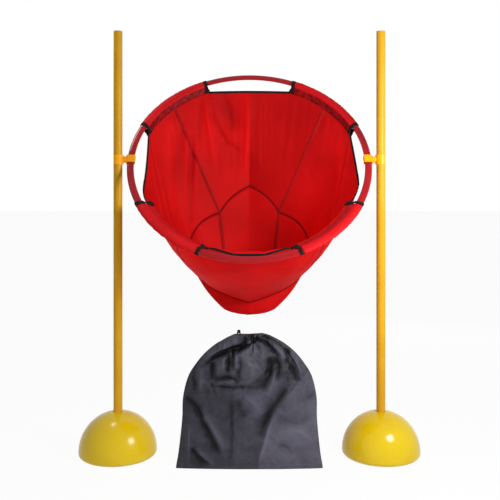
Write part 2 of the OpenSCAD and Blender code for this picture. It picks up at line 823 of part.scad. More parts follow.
pouch_gore(1);  // pouch_right
pouch_gore(2);  // pouch_front
pouch_gore(3);  // pouch_left
pouch_floor();
sleeve("upper_right");  // sleeve_upper_right
sleeve("lower_right");  // sleeve_lower_right
sleeve("lower_left");  // sleeve_lower_left
sleeve("upper_left");  // sleeve_upper_left
edge_tape(0);  // back_edge_tape
edge_tape(1);  // right_edge_tape
edge_tape(2);  // front_edge_tape
edge_tape(3);  // left_edge_tape
sleeve_end_tapes();
storage_bag();
drawcord();
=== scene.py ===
"""Pitching target: a cloth catching net on a plastic hoop, clipped between two poles
that stand in domes, with its drawstring storage bag. Metres, +Z up; the thrower is at -Y.
"""

import math

import bmesh
import bpy
from mathutils import Matrix, Vector, noise
from mathutils.kdtree import KDTree


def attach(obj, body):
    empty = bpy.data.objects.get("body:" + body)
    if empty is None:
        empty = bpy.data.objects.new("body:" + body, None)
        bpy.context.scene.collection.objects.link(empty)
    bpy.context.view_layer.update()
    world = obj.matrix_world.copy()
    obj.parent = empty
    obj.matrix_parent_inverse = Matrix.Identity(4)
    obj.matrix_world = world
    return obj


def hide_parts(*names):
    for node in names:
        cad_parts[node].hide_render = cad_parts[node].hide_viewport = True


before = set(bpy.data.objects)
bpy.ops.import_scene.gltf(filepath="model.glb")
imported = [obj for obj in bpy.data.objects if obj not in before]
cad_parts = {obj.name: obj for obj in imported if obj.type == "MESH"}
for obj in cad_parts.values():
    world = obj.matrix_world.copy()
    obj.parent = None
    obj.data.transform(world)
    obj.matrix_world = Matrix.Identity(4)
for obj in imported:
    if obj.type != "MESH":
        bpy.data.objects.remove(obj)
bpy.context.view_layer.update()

# ------------------------------------------------------------------ camera
# The thrower's eye, a little below the hoop's middle and straight in front of the net's
# mouth. It looks level, and the lens is shifted so that the domes stay in view.
camera_data = bpy.data.cameras.new("thrower_view")
camera_data.sensor_width = 36
camera_data.lens = 52.72
camera_data.shift_x = 0.0012
camera_data.shift_y = -0.1286
camera = bpy.data.objects.new("thrower_view", camera_data)
camera.location = (0, -2.1, 0.768)
camera.rotation_euler = (math.radians(90), 0, 0)
bpy.context.collection.objects.link(camera)
bpy.context.scene.camera = camera

# ------------------------------------------------------------------ drawcord
# A thin black braided cord. It runs once round the channel at the bag's mouth, and its
# two ends come out together at the top and are tied in one knot.
BAG_WIDTH = 0.400
BAG_HEIGHT = 0.367
BAG_DEPTH = 0.060
BAG_PLACE_Y = -0.108
BAG_FOOT_X = 0.0
BAG_TOP_X = 0.004
CORD_DIAMETER = 0.004
KNOT_DIAMETER = 0.009
KNOT_LUMPS = 0.12
ONE_WAVE = 6.2832


def bag_middle(up):
    """X of the bag's middle at a share of its height, because it slumps sideways."""
    return BAG_FOOT_X + (BAG_TOP_X - BAG_FOOT_X) * up * up


def show(name, data):
    """Puts a new mesh or curve in the scene, with its place in its own points."""
    piece = bpy.data.objects.new(name, data)
    bpy.context.collection.objects.link(piece)
    return piece


def finished(bm, name, material, body, thick=0, outwards=True):
    """Makes one piece from what the mesh holds, with its finish and its body."""
    if outwards:
        bmesh.ops.recalc_face_normals(bm, faces=bm.faces)
    mesh = bpy.data.meshes.new(name)
    bm.to_mesh(mesh)
    bm.free()
    mesh.materials.append(material)
    piece = show(name, mesh)
    if thick:
        wall = piece.modifiers.new("wall", "SOLIDIFY")
        wall.thickness = thick
        wall.offset = 0
    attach(piece, body)
    return piece


def finish_material(name):
    """A new node material, its nodes and its main shader."""
    material = bpy.data.materials.new(name)
    material.use_nodes = True
    nodes = material.node_tree.nodes
    return material, nodes, nodes["Principled BSDF"]


def tuned(node, *firsts, **others):
    """A node with its inputs set or joined up: the first ones in their order, and others
    by name, with a low line for a space."""
    chosen = list(zip(node.inputs, firsts))
    chosen += [(node.inputs[name.replace("_", " ")], value) for name, value in others.items()]
    for socket, value in chosen:
        if isinstance(value, bpy.types.NodeSocket):
            node.id_data.links.new(value, socket)
        else:
            socket.default_value = value
    return node


def added(nodes, kind, *firsts, work=None, **others):
    """A new node of a kind, with the work that it does and its inputs."""
    node = nodes.new(f"ShaderNode{kind}")
    if kind == "Mix":
        node.data_type = work
    elif work:
        node.operation = work
    return tuned(node, *firsts, **others)


def linear(red, green, blue):
    """A colour given as it looks on a screen, turned into light."""
    return tuple(
        c / 12.92 if c <= 0.04045 else ((c + 0.055) / 1.055) ** 2.4
        for c in (red / 255, green / 255, blue / 255)
    ) + (1.0,)


def woven(
    name, colour, shade, threads, depth, roughness, sheen, coordinates="UV", patch=9.0,
    shine=0.12, thin=0.0, painted_shade=0.0,
):
    """Plain-woven cloth, softly and unevenly dyed. It has so many threads per metre both
    ways, thin lets light through, and the last argument sets the painted shade: how dark
    the cloth is painted in its deepest folds, and as much lighter on its crests."""
    material, nodes, shader = finish_material(name)
    place = nodes.new("ShaderNodeTexCoord").outputs
    heights = []
    for direction in "XY":
        thread = added(
            nodes, "TexWave", Vector=place[coordinates], Scale=threads / ONE_WAVE * 2,
            Distortion=0.6, Detail=1.0, Detail_Scale=0.4,
        )
        thread.bands_direction = direction
        heights.append(thread.outputs["Fac"])
    crossing = added(nodes, "Math", *heights, work="MULTIPLY").outputs["Value"]
    cloud = added(nodes, "TexNoise", Vector=place["Object"], Scale=patch, Detail=4.0)
    spread = added(nodes, "MapRange", Value=cloud.outputs["Fac"], From_Min=0.3, From_Max=0.7)
    weave_tint = added(nodes, "Math", crossing, 0.25, spread.outputs["Result"], work="MULTIPLY_ADD")
    dye = added(nodes, "Mix", work="RGBA", Factor=weave_tint.outputs["Value"], A=shade, B=colour)
    tint = dye.outputs["Result"]
    # Painted shade and painted light: the vertex tone darkens the colour in folds and shaded parts
    # and lightens it on crests and lit parts.
    if painted_shade:
        fold = nodes.new("ShaderNodeAttribute")
        fold.attribute_name = "fold"
        painted_shade_scale = added(
            nodes, "MapRange", Value=fold.outputs["Fac"], From_Min=-1, From_Max=1,
            To_Min=painted_shade, To_Max=2 - painted_shade,
        )
        darken = added(nodes, "VectorMath", tint, work="SCALE", Scale=painted_shade_scale.outputs["Result"])
        tint = darken.outputs["Vector"]
    relief = added(nodes, "Bump", Strength=0.5, Distance=depth, Height=crossing)
    tuned(
        shader, Base_Color=tint, Roughness=roughness, Specular_IOR_Level=shine,
        Sheen_Weight=sheen, Sheen_Roughness=0.4, Normal=relief.outputs["Normal"],
    )
    if thin:
        bright = added(nodes, "VectorMath", tint, work="SCALE", Scale=1.6)
        glowing = added(nodes, "BsdfTranslucent", Color=bright.outputs["Vector"])
        both = added(nodes, "MixShader", thin, shader.outputs["BSDF"], glowing.outputs["BSDF"])
        tuned(nodes["Material Output"], Surface=both.outputs["Shader"])
    return material


cord_cover = woven(
    "cord_cover", linear(22, 21, 24), linear(12, 12, 13), threads=900, depth=0.0003,
    roughness=0.8, sheen=0.1, coordinates="Object",
)

# Shares of half the bag's width, of its depth and of its height, from the knot, round
# the channel and back.
CORD_ROUTE = [
    (-0.18, 0, 1.008), (-0.19, 0, 0.98), (-0.24, 0.06, 0.94), (-0.4, 0.11, 0.88),
    (-0.54, 0.11, 0.8), (-0.65, 0.09, 0.72), (-0.7, 0, 0.68), (-0.65, -0.09, 0.72),
    (-0.54, -0.11, 0.8), (-0.4, -0.12, 0.87), (-0.2, -0.12, 0.915), (0, -0.12, 0.925),
    (0.2, -0.12, 0.915), (0.4, -0.12, 0.87), (0.54, -0.11, 0.8), (0.65, -0.09, 0.72),
    (0.7, 0, 0.68), (0.65, 0.09, 0.72), (0.54, 0.11, 0.8), (0.4, 0.12, 0.87),
    (0.2, 0.12, 0.915), (0, 0.12, 0.925), (-0.1, 0.07, 0.945), (-0.14, 0, 0.98),
    (-0.15, 0, 1.008),
]
route = [
    Vector((
        bag_middle(up) + across * BAG_WIDTH / 2,
        BAG_PLACE_Y + back * BAG_DEPTH,
        up * BAG_HEIGHT,
    ))
    for across, back, up in CORD_ROUTE
]


def through(points, steps):
    """Smooth line through points, with a few steps between each two."""
    line = []
    last = len(points) - 1
    for i in range(last):
        a, b, c, d = (points[min(max(k, 0), last)] for k in (i - 1, i, i + 1, i + 2))
        for k in range(steps):
            t = k / steps
            line.append(
                b + (c - a) * t / 2 + (2 * a - 5 * b + 4 * c - d) * t * t / 2
                + (3 * b - 3 * c + d - a) * t**3 / 2
            )
    return line + [points[-1]]


cord_line = through(route, steps=6)
cord_curve = bpy.data.curves.new("drawcord_braid", "CURVE")
cord_curve.dimensions = "3D"
cord_curve.bevel_depth = CORD_DIAMETER / 2
cord_curve.bevel_resolution = 3
cord_curve.use_fill_caps = True
strand = cord_curve.splines.new("POLY")
strand.points.add(len(cord_line) - 1)
for point, place in zip(strand.points, cord_line):
    point.co = (*place, 1)
drawcord = show("drawcord_braid", cord_curve)
cord_curve.materials.append(cord_cover)
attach(drawcord, "bag")

bm = bmesh.new()
bmesh.ops.create_icosphere(bm, subdivisions=3, radius=KNOT_DIAMETER / 2)
for v in bm.verts:
    v.co *= 1 + KNOT_LUMPS * math.sin(v.co.x * 1500 + v.co.z * 900)
knot_place = (route[0] + route[-1]) / 2 + Vector((0, 0, CORD_DIAMETER / 2))
bmesh.ops.translate(bm, verts=bm.verts, vec=knot_place)
for face in bm.faces:
    face.smooth = True
knot = finished(bm, "drawcord_knot", cord_cover, "bag")
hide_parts("drawcord")
sum((b - a).length for a, b in zip(cord_line, cord_line[1:]))

# ------------------------------------------------------------------ ground and light
# A pale studio floor that keeps soft shadows, and a white room round it. A small softbox
# stands close by at the right, one hangs overhead at the left, and two wide ones fill in.
FLOOR_DROP = 0.0003
FLOOR_WHITE = 0.95
ROOM_GLOW = 0.22
STAND_MIDDLE = Vector((0, 0, 0.5))

bm = bmesh.new()
bmesh.ops.create_grid(bm, x_segments=1, y_segments=1, size=20)
floor_mesh = bpy.data.meshes.new("studio_floor")
bm.to_mesh(floor_mesh)
bm.free()
studio_floor = show("studio_floor", floor_mesh)
studio_floor.location.z = -FLOOR_DROP


def seen_directly(nodes):
    """1 for what the camera, a gloss or a clear surface sees, 0 for light itself."""
    path = nodes.new("ShaderNodeLightPath").outputs
    total = path["Is Camera Ray"]
    for kind in ("Is Glossy Ray", "Is Transmission Ray"):
        total = added(nodes, "Math", total, path[kind], work="MAXIMUM").outputs["Value"]
    return total


floor_material, nodes, shader = finish_material("studio_floor")
tuned(shader, Base_Color=(0.86, 0.86, 0.86, 1), Roughness=0.9, Specular_IOR_Level=0.0)
white = added(nodes, "Emission", Strength=1.0)
share = added(nodes, "Math", seen_directly(nodes), FLOOR_WHITE, work="MULTIPLY")
blend = added(
    nodes, "MixShader", share.outputs["Value"], shader.outputs["BSDF"], white.outputs["Emission"]
)
tuned(nodes["Material Output"], Surface=blend.outputs["Shader"])
floor_mesh.materials.append(floor_material)

room = bpy.data.worlds.new("white_room")
room.use_nodes = True
nodes = room.node_tree.nodes
glow = added(nodes, "MapRange", Value=seen_directly(nodes), To_Min=ROOM_GLOW, To_Max=1.0)
tuned(nodes["Background"], Color=(1, 1, 1, 1), Strength=glow.outputs["Result"])
bpy.context.scene.world = room


def soft_lamp(name, location, width, height, power):
    """A softbox that faces the middle of the stand."""
    lamp = bpy.data.lights.new(name, "AREA")
    lamp.shape = "RECTANGLE"
    lamp.size = width
    lamp.size_y = height
    lamp.energy = power
    holder = bpy.data.objects.new(name, lamp)
    holder.location = location
    aim = holder.location - STAND_MIDDLE
    holder.rotation_euler = aim.to_track_quat("Z", "Y").to_euler()
    holder.visible_camera = False
    bpy.context.collection.objects.link(holder)
    return holder


lamp_right = soft_lamp("lamp_right", (0.77, -0.76, 0.95), 0.34, 0.34, power=13.5)
soft_lamp("lamp_overhead", (-0.69, 0.06, 1.67), 0.3, 0.25, power=3.5)
soft_lamp("lamp_fill", (-0.5, -1.5, 0.12), 0.9, 0.6, power=8).visible_glossy = False
soft_lamp("lamp_behind", (0.9, 2.0, 0.9), 1.2, 1.0, power=9).visible_glossy = False
bpy.context.scene.view_settings.view_transform = "Standard"

# ------------------------------------------------------------------ domes
# Each dome is one glossy lemon-yellow moulding, filled with sand, with a base plate
# snapped in below and a socket inside that takes the foot of the pole.
def moulded(name, colour, shade, roughness, grain, shine=0.3):
    """Moulded plastic: nearly even colour, a fine orange-peel skin and soft handling marks."""
    material, nodes, shader = finish_material(name)
    place = nodes.new("ShaderNodeTexCoord").outputs["Object"]
    clouds = added(nodes, "TexNoise", Vector=place, Scale=7.0, Detail=3.0)
    spread = added(nodes, "MapRange", Value=clouds.outputs["Fac"], From_Min=0.35, From_Max=0.65)
    tint = added(nodes, "Mix", work="RGBA", Factor=spread.outputs["Result"], A=shade, B=colour)
    scuffs = added(nodes, "TexNoise", Vector=place, Scale=38.0, Detail=6.0)
    dull = added(
        nodes, "MapRange", Value=scuffs.outputs["Fac"], From_Min=0.3, From_Max=0.8,
        To_Min=roughness, To_Max=roughness + 0.16,
    )
    peel = added(nodes, "TexNoise", Vector=place, Scale=grain, Detail=2.0)
    relief = added(nodes, "Bump", Strength=0.25, Distance=0.0004, Height=peel.outputs["Fac"])
    tuned(
        shader, Base_Color=tint.outputs["Result"], Roughness=dull.outputs["Result"],
        Specular_IOR_Level=shine, Normal=relief.outputs["Normal"],
    )
    return material


def dress(node, material):
    """Gives a carried-over solid its finish."""
    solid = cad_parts[node]
    solid.data.materials.clear()
    solid.data.materials.append(material)


SIDES = ("left", "right")
lemon = moulded(
    "lemon_plastic", linear(221, 190, 14), linear(215, 181, 10), roughness=0.13, grain=260
)
sand_grain = moulded(
    "sand_grain", linear(200, 178, 132), linear(168, 146, 104), roughness=0.85, grain=900
)
for side in SIDES:
    for node in ("dome_shell", "base_plate", "pole_socket", "filler_plug"):
        dress(f"{side}_{node}", lemon)
    dress(f"{side}_sand_ballast", sand_grain)

# ------------------------------------------------------------------ poles
# Golden-yellow plastic tubes, each one extruded piece, with a flush cap pressed into both
# ends. They stand loose in the domes' sockets and lift out.
golden = moulded(
    "golden_plastic", linear(212, 160, 30), linear(204, 150, 24), roughness=0.3, grain=420,
    shine=0.15,
)
for side in SIDES:
    for node in ("pole_tube", "pole_top_cap", "pole_foot_cap"):
        dress(f"{side}_{node}", golden)

# ------------------------------------------------------------------ clips
# Amber snap clips: an open ring on the pole and a jaw on the hoop, joined by a pin on
# which the hoop tilts.
amber = moulded(
    "amber_plastic", linear(255, 176, 6), linear(252, 166, 3), roughness=0.34, grain=500,
    shine=0.2,
)
for side in SIDES:
    for node in ("pole_clip", "swivel_pin", "hoop_clip"):
        dress(f"{side}_{node}", amber)

# ------------------------------------------------------------------ hoop
# A flat crimson plastic tube bent to a circle, its ends plugged together inside the
# lower left sleeve. Its broad faces are slightly domed, so they carry a thin streak of light.
HOOP_RADIUS = 0.350
HOOP_WIDTH = 0.020
HOOP_THICK = 0.0075
HOOP_HEIGHT = 0.843
HOOP_LEAN = math.radians(38.5)
hoop_mid = HOOP_RADIUS - HOOP_WIDTH / 2

# How full the tube's edges and its faces are; an ellipse has 1, and less is fuller.
EDGE_ROUND = 0.92
FACE_ROUND = 0.86
into_hoop = Matrix.Translation((0, 0, HOOP_HEIGHT)) @ Matrix.Rotation(
    math.radians(90) - HOOP_LEAN, 4, "X"
)

crimson = moulded(
    "crimson_plastic", linear(162, 13, 25), linear(150, 8, 17), roughness=0.1, grain=500,
    shine=0.2,
)
dress("hoop_joiner", crimson)
bm = bmesh.new()
section = bmesh.ops.create_circle(bm, segments=56, radius=1)["verts"]
for v in section:
    t = math.atan2(v.co.y, v.co.x)
    c, s = math.cos(t), math.sin(t)
    v.co.x = HOOP_WIDTH / 2 * math.copysign(abs(c) ** EDGE_ROUND, c)
    v.co.y = HOOP_THICK / 2 * math.copysign(abs(s) ** FACE_ROUND, s)
bmesh.ops.translate(bm, verts=bm.verts, vec=(hoop_mid, 0, 0))
upright = Matrix.Rotation(math.radians(90), 3, "X")
bmesh.ops.rotate(bm, verts=bm.verts, cent=(0, 0, 0), matrix=upright)
bmesh.ops.spin(
    bm, geom=bm.edges[:], cent=(0, 0, 0), axis=(0, 0, 1), angle=math.radians(360),
    steps=240, use_merge=True,
)
bmesh.ops.remove_doubles(bm, verts=bm.verts, dist=1e-6)
bmesh.ops.transform(bm, matrix=into_hoop, verts=bm.verts)
for face in bm.faces:
    face.smooth = True
hoop_bend = finished(bm, "hoop_bend", crimson, "hoop")
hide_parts("hoop_tube")

# ------------------------------------------------------------------ net cloth
# Thin red woven polyester: four panels hang from the sleeves to a seam shaped like a
# rounded diamond, and four gores go on from there to a small oval floor.
QUARTERS = ("back", "right", "front", "left")
FRONT = QUARTERS.index("front")

# The seam above the pouch: half its width, then how far behind and below the hoop's
# middle its sides, its back and its front lie, how pointed its front is, and its bows.
RING_HALF_W = 0.182
RING_SIDE = (0.146, -0.236)
RING_BACK = (0.212, -0.071)
RING_FRONT = (0.074, -0.413)
FRONT_POINT = 0.28
SEAM_BOW = 0.010

# The floor: its middle, its half width and depth, and how far its ends and its middle rise.
FLOOR_PLACE = (0.105, -0.450)
FLOOR_HALF = (0.074, 0.028)
FLOOR_RISE = (0.007, 0.001)

# The walls belly out, and the lower sleeves' hem draws them in like a shelf: how far, from
# and to which turn of the hoop, and over how many degrees that comes and goes.
BELLY = 0.008
SHELF = 0.03
SHELF_TURNS = (96, 173)
SHELF_EASE = (22, 18)

# The free edges between the sleeves, from the back round by the right: where each starts
# and ends, and how far it sags. The front one is rolled over and droops forwards.
GAP_ENDS = ((-23, 23), (68, 117), (158, 202), (243, 292))
EDGE_SAG = (0.016, 0.028, 0.008, 0.046)
HEM_DEPTH = 0.026
FRONT_LIFT = 0.047
FRONT_DROOP = Vector((0, -0.012, -0.011))
TAPE_WIDTH = 0.006
FOLD_WIDTH = 0.016
CLOTH_THICK = 0.0008

# How firmly the edges, the seams and the plain cloth keep their place as it settles.
EDGE_HOLD = (0.6, 0.25, 0.95, 0.2)
SEAM_HOLD = 0.3
CLOTH_HOLD = 0.03

# The weave runs down from the middle of each part: where the turns are measured from, the
# radius at which its threads are true, how much of the flare they follow, and a row's depth.
GRAIN_MIDDLE = Vector((0, 0.1))
GRAIN_RADIUS = 0.34
GRAIN_FLARE = 0.8
ROW_DEPTH = 0.0075

COLUMNS = 360
TAPE_ROWS = 3
FOLD_ROWS = 7
PANEL_END = 50
POUCH_END = 80
FLOOR_END = 86

hoop_axis = Vector((0, math.cos(HOOP_LEAN), -math.sin(HOOP_LEAN)))
hoop_centre = Vector((0, 0, HOOP_HEIGHT))


def hoop_out(a):
    """Outward direction in the hoop's plane; angles count from the top towards +X."""
    return Vector((
        math.sin(a), math.cos(a) * math.sin(HOOP_LEAN), math.cos(a) * math.cos(HOOP_LEAN)
    ))


def tube_point(a):
    """The middle of the hoop's tube at an angle."""
    return hoop_centre + hoop_mid * hoop_out(a)


def ring_point(a):
    """The seam between panels and pouch: four bows at the back, drawn to a point in front."""
    s, c = math.sin(a), math.cos(a)
    if c >= 0:
        across, along, corner = s / (abs(s) + c), c / (abs(s) + c), RING_BACK
    else:
        across, along, corner = s, (1 - abs(s)) ** FRONT_POINT, RING_FRONT
    y, z = (side + along * (far - side) for side, far in zip(RING_SIDE, corner))
    place = Vector((RING_HALF_W * across, y, HOOP_HEIGHT + z))
    if c < 0:
        return place
    bow = SEAM_BOW * (1 + abs(across)) * abs(math.sin(math.tau * across))
    return place + (tube_point(a) - place).normalized() * bow


def floor_point(a):
    """The oval seam round the pouch's floor."""
    return Vector((
        FLOOR_HALF[0] * math.sin(a),
        FLOOR_PLACE[0] + FLOOR_HALF[1] * math.cos(a),
        HOOP_HEIGHT + FLOOR_PLACE[1] + FLOOR_RISE[0] * math.sin(a) ** 2,
    ))


def gap_at(a):
    """The free edge at an angle, and 1 in its middle down to 0 at its ends and beyond."""
    degrees = math.degrees(a)
    for quarter, (start, end) in enumerate(GAP_ENDS):
        middle, half = (start + end) / 2, (end - start) / 2
        off = (degrees - middle + 180) % 360 - 180
        if abs(off) < half:
            return quarter, 1 - (off / half) ** 2
    return None, 0.0


def net_point(a, w):
    """The net's surface: w is 0 at the hoop tube, 1 at the ring seam, 2 at the floor."""
    hoop, ring = tube_point(a), ring_point(a)
    out = hoop_out(a)
    side, front = 1 - abs(math.cos(a)), max(0, -math.cos(a))
    if w <= 1:
        quarter, inside = gap_at(a)
        lift = FRONT_LIFT * inside * (1 - w) ** 2 if quarter == FRONT else 0
        belly = 4 * w * (1 - w) * BELLY * (side / 2 + front)
        way = ring - hoop
        stiff = (-out).project(way) + out
        hem = w * way.length / HEM_DEPTH
        turn = math.degrees(math.acos(max(-1, min(1, math.cos(a)))))
        coming = min(1, max(0, (turn - SHELF_TURNS[0]) / SHELF_EASE[0]))
        going = min(1, max(0, (SHELF_TURNS[1] - turn) / SHELF_EASE[1]))
        shelf = -SHELF * (coming * going) * hem * math.exp(1 - hem) * stiff.normalized()
        return hoop.lerp(ring, w) + out * belly + Vector((0, 0, lift)) + shelf
    belly = 4 * (w - 1) * (2 - w) * BELLY * (side + front)
    return ring.lerp(floor_point(a), w - 1) + out * belly


def panel_length(a):
    """How far the cloth runs from the hoop's tube to the seam above the pouch."""
    return (ring_point(a) - hoop_centre - hoop_mid * hoop_out(a)).length


def net_place(a, row):
    """Where a row of the cloth lies at an angle, from its top edge to the floor."""
    if row > POUCH_END:
        edge = floor_point(a)
        centre = Vector((0, FLOOR_PLACE[0], HOOP_HEIGHT + FLOOR_PLACE[1] + FLOOR_RISE[1]))
        return edge.lerp(centre, (row - POUCH_END) / (FLOOR_END - POUCH_END))
    if row >= PANEL_END:
        return net_point(a, 1 + (row - PANEL_END) / (POUCH_END - PANEL_END))
    quarter, inside = gap_at(a)
    edge = HEM_DEPTH if quarter is None else HEM_DEPTH + EDGE_SAG[quarter] * inside
    if row <= TAPE_ROWS:
        down = TAPE_WIDTH * row / TAPE_ROWS
    else:
        down = TAPE_WIDTH + (FOLD_WIDTH - TAPE_WIDTH) * min(
            1, (row - TAPE_ROWS) / (FOLD_ROWS - TAPE_ROWS)
        )
    fold = FOLD_WIDTH * inside if quarter == FRONT else 0
    droop = Vector()
    if down < fold:
        droop = FRONT_DROOP * inside * (1 - down / fold)
    w = (edge + max(0, down - fold)) / panel_length(a)
    if row > FOLD_ROWS:
        w += (1 - w) * (row - FOLD_ROWS) / (PANEL_END - FOLD_ROWS)
    return net_point(a, w) + droop


bm = bmesh.new()
bmesh.ops.create_grid(bm, x_segments=COLUMNS, y_segments=FLOOR_END, size=1)
row_of = bm.verts.layers.int.new("row")
column_of = bm.verts.layers.int.new("column")
weights = bm.verts.layers.deform.verify()
for v in bm.verts:
    v[column_of] = round((v.co.x + 1) / 2 * COLUMNS)
    v[row_of] = round((v.co.y + 1) / 2 * FLOOR_END)
for face in bm.faces:
    middle = face.calc_center_median()
    row = (middle.y + 1) / 2 * FLOOR_END
    quarter = int(((middle.x + 1) / 2 * 360 + 45) % 360 // 90)
    face.material_index = quarter if row < PANEL_END else 4 + quarter if row < POUCH_END else 8
for v in bm.verts:
    a = math.radians(v[column_of] * 360 / COLUMNS)
    v.co = net_place(a, v[row_of])
    quarter, inside = gap_at(a)
    sewn = v[row_of] == 0 and quarter is None
    seam = v[column_of] % (COLUMNS // 4) == COLUMNS // 8 or v[row_of] in (PANEL_END, POUCH_END)
    taped = EDGE_HOLD[quarter] if v[row_of] <= FOLD_ROWS and inside else 0
    v[weights][0] = 1.0 if sewn else max(taped, SEAM_HOLD if seam else CLOTH_HOLD)
grain = bm.loops.layers.uv.new("grain")
for face in bm.faces:
    for corner in face.loops:
        v = corner.vert
        turn = v[column_of] * 360 / COLUMNS
        home = (face.material_index % 4) * 90
        off = (turn - home + 180) % 360 - 180
        reach = (v.co.xy - GRAIN_MIDDLE).length
        corner[grain].uv = (
            math.radians(off) * (GRAIN_RADIUS + (reach - GRAIN_RADIUS) * GRAIN_FLARE),
            v[row_of] * ROW_DEPTH,
        )
bmesh.ops.remove_doubles(bm, verts=bm.verts, dist=1e-6)
net_mesh = bpy.data.meshes.new("net_form")
bm.to_mesh(net_mesh)
bm.free()
net_form = show("net_form", net_mesh)
net_form.vertex_groups.new(name="held")


def drape(cloth_piece, frames, grow, bend, pull, cap):
    """Lets cloth settle from its cut shape, then keeps it, moved no more than the cap."""
    scene = bpy.context.scene
    before = [v.co.copy() for v in cloth_piece.data.vertices]
    settle = cloth_piece.modifiers.new("settle", "CLOTH")
    settle.settings.quality = 6
    settle.settings.mass = 0.12
    settle.settings.tension_stiffness = 25
    settle.settings.compression_stiffness = 25
    settle.settings.shear_stiffness = 8
    settle.settings.bending_stiffness = bend
    settle.settings.air_damping = 3
    settle.settings.vertex_group_mass = "held"
    settle.settings.pin_stiffness = pull
    settle.settings.shrink_min = -grow
    settle.collision_settings.use_collision = False
    settle.point_cache.frame_start = 1
    settle.point_cache.frame_end = frames
    for moment in range(1, frames + 1):
        scene.frame_set(moment)
    settled = bpy.data.meshes.new_from_object(
        cloth_piece.evaluated_get(bpy.context.evaluated_depsgraph_get())
    )
    cloth_piece.modifiers.clear()
    cloth_piece.data = settled
    for v, start in zip(settled.vertices, before):
        move = v.co - start
        if move.length > cap:
            v.co = start + move * (cap / move.length)
    scene.frame_set(1)


drape(net_form, frames=30, grow=0.012, bend=0.4, pull=1.0, cap=0.009)

red_cloth = woven(
    "red_polyester", linear(197, 19, 22), linear(185, 12, 16), threads=1100, depth=0.00015,
    roughness=0.6, sheen=0.0, thin=0.46, painted_shade=0.72,
)

# Folds that stay in the cloth: how far each stands in, its half width, and where it
# runs, in degrees round the hoop and shares of the way from the tube to the seam.
NET_FOLDS = [
    (0.005, 0.011, [(311, 0.12), (307, 0.18), (297, 0.36), (286, 0.55), (273, 0.73)]),
    (-0.008, 0.005, [(318, 0.16), (305, 0.39), (295, 0.52), (288, 0.63)]),
    (0.007, 0.005, [(318, 0.24), (308, 0.46), (298, 0.61), (284, 0.77)]),
    (-0.009, 0.0045, [(320, 0.3), (314, 0.46), (306, 0.6), (294, 0.76), (276, 0.93)]),
    (0.007, 0.005, [(322, 0.38), (317, 0.48), (309, 0.62), (297, 0.78)]),
    (-0.006, 0.004, [(331, 0.12), (326, 0.31), (321, 0.46)]),
    (0.005, 0.009, [(334, 0.12), (332, 0.35), (331, 0.51), (327, 0.69)]),
    (-0.006, 0.005, [(335, 0.22), (339, 0.42), (343, 0.57)]),
    (-0.008, 0.019, [(344, 0.1), (347, 0.29), (349, 0.47)]),
    (0.009, 0.010, [(0, 0.08), (359, 0.41), (358, 0.62), (355, 0.88)]),
    (-0.005, 0.004, [(341, 0.52), (348, 0.61), (353, 0.67)]),
    (0.004, 0.016, [(62, 0.2), (75, 0.36), (88, 0.51)]),
    (-0.005, 0.005, [(47, 0.14), (48, 0.34)]),
    (-0.005, 0.005, [(54, 0.58), (64, 0.63)]),
]

# Painted light and shade round the hoop: where in degrees, and how much lighter the cloth is
# painted there.
NET_PAINTED_LIGHT = [(0, -0.45), (45, -0.4), (80, 0.3), (110, 0.7), (225, 0.6), (260, 0.1), (360, 0.05)]

# How much of the painted shade and of the painted light the pouch keeps, the depth of a fold
# that is painted fully dark or light, and the rows beside the hem and the seam over which folds
# fade out.
POUCH_DARK, POUCH_LIGHT = 0.4, 1.1
FOLD_DARK, FOLD_LIGHT = 0.009, 0.011
CALM_ROWS = (8, 6)
RIPPLES = ((0.0009, 30), (0.0004, 110))


def painted_light_round(turn):
    """How much painted light the cloth gets at a turn of the hoop; below nothing it is painted
    shade.
    """
    for (start, low), (end, high) in zip(NET_PAINTED_LIGHT, NET_PAINTED_LIGHT[1:]):
        if turn <= end:
            return low + (high - low) * (turn - start) / (end - start)


def creases(folds, place):
    """For each fold: its height, its half width and its line, ready to be searched."""
    ready = []
    for high, half, points in folds:
        line = through([place(*p) for p in points], steps=14)
        tree = KDTree(len(line))
        for i, point in enumerate(line):
            tree.insert(point, i)
        tree.balance()
        ready.append((high, half, len(line) - 1, tree))
    return ready


def creased(place, ready, crisp):
    """How far the cloth stands out of its plain form at a place. A crisp fold has a sharp
    crest on a wide foot, a soft one is round, and each dies out towards its two ends."""
    total = 0
    for high, half, last, tree in ready:
        _, i, off = tree.find(place)
        if off < 6 * half:
            soft = math.exp(-(off / half) ** 1.5)
            sharp = 0.75 * math.exp(-off / half) + 0.25 * math.exp(-((off / half / 2.2) ** 2))
            shape = (1 - crisp) * soft + crisp * sharp
            total += high * shape * math.sin(math.pi * i / last) ** 0.7
    return total


